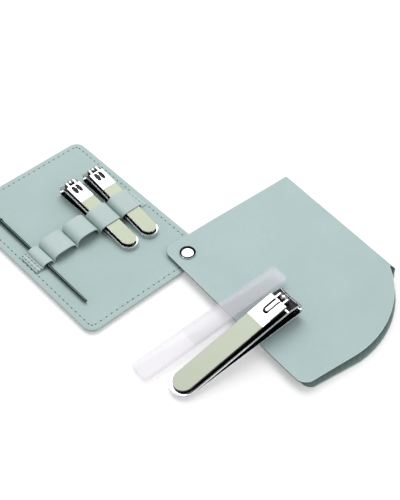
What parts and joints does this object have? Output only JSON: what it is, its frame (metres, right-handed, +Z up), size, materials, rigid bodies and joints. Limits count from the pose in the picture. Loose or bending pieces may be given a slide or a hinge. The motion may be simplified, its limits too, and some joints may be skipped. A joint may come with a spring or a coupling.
{
  "type": "manicure set case",
  "caption": "Folded leather manicure case with a tool card that swings out on a snap stud, nail clippers and a thin pick in its loops, and a clipper and glass file on its flap.",
  "frame": {"origin": "axis of the snap stud that the tool card turns on, where the case rests on the table", "axes": "+X along the cover's opening edge from the snap towards the rounded nose, +Y towards the cover's fold, +Z up out of the table"},
  "size_m": [0.2053, 0.1502, 0.0195],
  "materials": {
    "cover_leather": "fine-grained sage leather",
    "card_leather": "fine-grained sage leather",
    "lining": "woven",
    "snap_chrome": "polished",
    "board": "grey stiffener board",
    "thread": "twisted thread",
    "tool_steel": "polished plate",
    "inlay_green": "satin sage green",
    "frosted_glass": "satin",
    "etched_glass": "etched, fine grit"
  },
  "bodies": {
    "back_cover": {"back_leather": "cover_leather", "back_lining": "lining", "snap_stud": "snap_chrome", "stud_washer": "snap_chrome"},
    "spine": {"spine_strip": "cover_leather"},
    "flap": {"flap_leather": "cover_leather", "flap_lining": "lining", "snap_cap": "snap_chrome", "snap_socket": "snap_chrome"},
    "card": {"card_front": "card_leather", "card_board": "board", "card_back": "card_leather", "card_eyelet": "snap_chrome", "card_seam": "thread", "loop_strap": "card_leather", "strap_seam": "thread"},
    "pick": {"pick_shaft": "tool_steel", "pick_head": "tool_steel"},
    "small_clipper_a": {"small_clipper_a_lower_arm": "tool_steel", "small_clipper_a_rivet": "tool_steel", "small_clipper_a_post": "tool_steel", "small_clipper_a_lever": "tool_steel", "small_clipper_a_inlay": "inlay_green"},
    "small_jaw_a": {"small_clipper_a_upper_arm": "tool_steel"},
    "small_clipper_b": {"small_clipper_b_lower_arm": "tool_steel", "small_clipper_b_rivet": "tool_steel", "small_clipper_b_post": "tool_steel", "small_clipper_b_lever": "tool_steel", "small_clipper_b_inlay": "inlay_green"},
    "small_jaw_b": {"small_clipper_b_upper_arm": "tool_steel"},
    "large_clipper": {"large_clipper_lower_arm": "tool_steel", "large_clipper_rivet": "tool_steel"},
    "large_jaw": {"large_clipper_upper_arm": "tool_steel"},
    "large_post": {"large_clipper_post": "tool_steel"},
    "large_lever": {"large_clipper_lever": "tool_steel", "large_clipper_inlay": "inlay_green"},
    "glass_file": {"glass_file": "frosted_glass", "file_etching": "etched_glass"}
  },
  "joints": [
    {"name": "card_swing", "type": "hinge", "parent": "back_cover", "child": "card", "pos_m": [0, 0, 0], "axis": [0, 0, 1], "range_deg": [0, 176.5]},
    {"name": "spine_lift", "type": "hinge", "parent": "back_cover", "child": "spine", "pos_m": [0, 0.07595, 0.00045], "axis": [-1, 0, 0], "range_deg": [0, 14.5]},
    {"name": "flap_fold", "type": "hinge", "parent": "spine", "child": "flap", "pos_m": [0, 0.07595, 0.00435], "axis": [-1, 0, 0], "range_deg": [0, 120]},
    {"name": "pick_slide", "type": "slide", "parent": "card", "child": "pick", "axis": [-0.9982, -0.0602, 0], "range_m": [0, 0.04]},
    {"name": "small_a_slide", "type": "slide", "parent": "card", "child": "small_clipper_a", "axis": [-0.9977, -0.068, 0], "range_m": [0, 0.04]},
    {"name": "small_b_slide", "type": "slide", "parent": "card", "child": "small_clipper_b", "axis": [-0.9996, -0.0288, 0], "range_m": [0, 0.04]},
    {"name": "small_a_squeeze", "type": "hinge", "parent": "small_clipper_a", "child": "small_jaw_a", "pos_m": [-0.02464, -0.01838, 0.00373], "axis": [0.068, -0.9977, 0], "range_deg": [0, 1.35], "stiffness_Nm_per_rad": 0.3},
    {"name": "small_b_squeeze", "type": "hinge", "parent": "small_clipper_b", "child": "small_jaw_b", "pos_m": [-0.02494, -0.00532, 0.00373], "axis": [0.0288, -0.9996, 0], "range_deg": [0, 1.35], "stiffness_Nm_per_rad": 0.3},
    {"name": "large_lift", "type": "slide", "parent": "flap", "child": "large_clipper", "axis": [0, 0, 1], "range_m": [0, 0.04]},
    {"name": "large_squeeze", "type": "hinge", "parent": "large_clipper", "child": "large_jaw", "pos_m": [0.06122, -0.05182, 0.00188], "axis": [-0.9998, -0.0175, 0], "range_deg": [0, 1.1], "stiffness_Nm_per_rad": 0.4},
    {"name": "large_swivel", "type": "hinge", "parent": "large_clipper", "child": "large_post", "pos_m": [0.06009, 0.01268, 0.00707], "axis": [0.0018, -0.1014, 0.9948], "range_deg": [0, 180]},
    {"name": "large_lever_raise", "type": "hinge", "parent": "large_post", "child": "large_lever", "pos_m": [0.06011, 0.0116, 0.01762], "axis": [-0.9998, -0.0175, 0], "range_deg": [0, 150]},
    {"name": "file_lift", "type": "slide", "parent": "flap", "child": "glass_file", "axis": [0, 0, 1], "range_m": [0, 0.04]}
  ],
  "couplings": [
    {"joint": "spine_lift", "follows": "card_swing", "ratio": 0.08}
  ]
}
